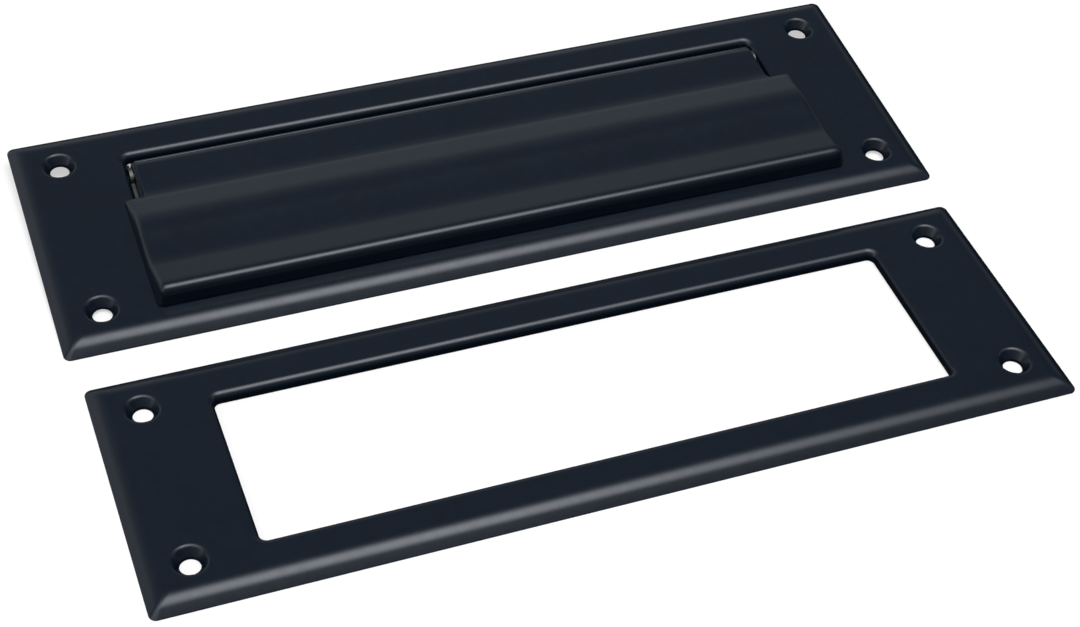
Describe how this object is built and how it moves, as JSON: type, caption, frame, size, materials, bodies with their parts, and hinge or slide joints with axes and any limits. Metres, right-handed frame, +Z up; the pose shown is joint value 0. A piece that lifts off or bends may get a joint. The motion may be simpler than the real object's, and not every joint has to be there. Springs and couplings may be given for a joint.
{
  "type": "letter plate",
  "caption": "Black letter plate for a door: bevelled outer plate with a sprung ogee flap over its opening, and a matching open inner frame, both with countersunk corner holes.",
  "frame": {"origin": "on the surface that both plates lie on, under the middle of the whole set", "axes": "+X along the plates, +Y from the flap's lip towards its hinge, +Z up out of the faces"},
  "size_m": [0.2588, 0.1726, 0.0099],
  "materials": {
    "black_coating": "satin black coating with a faint blue cast",
    "bracket_steel": "zinc plated sheet",
    "rod_steel": "drawn bright",
    "spring_steel": "oiled wire",
    "screw_zinc": "zinc plated",
    "nylon": "natural nylon"
  },
  "bodies": {
    "outer_assembly": {"outer_plate": "black_coating", "hinge_bracket_left": "bracket_steel", "hinge_bracket_right": "bracket_steel", "hinge_rod": "rod_steel", "torsion_spring_left": "spring_steel", "torsion_spring_right": "spring_steel", "bracket_screw_1": "screw_zinc", "bracket_screw_2": "screw_zinc", "bracket_screw_3": "screw_zinc", "bracket_screw_4": "screw_zinc"},
    "flap": {"flap": "black_coating", "flap_bush_left": "nylon", "flap_bush_right": "nylon"},
    "inner_frame": {"inner_frame": "black_coating"}
  },
  "joints": [
    {"name": "flap_hinge", "type": "hinge", "parent": "outer_assembly", "child": "flap", "pos_m": [0, 0.06618, 0.00434], "axis": [-1, 0, 0], "range_deg": [0, 90], "stiffness_Nm_per_rad": 0.03, "springref_deg": -28.65},
    {"name": "inner_frame_lift", "type": "slide", "parent": "outer_assembly", "child": "inner_frame", "axis": [0, 0, 1], "range_m": [0, 0.06]}
  ]
}
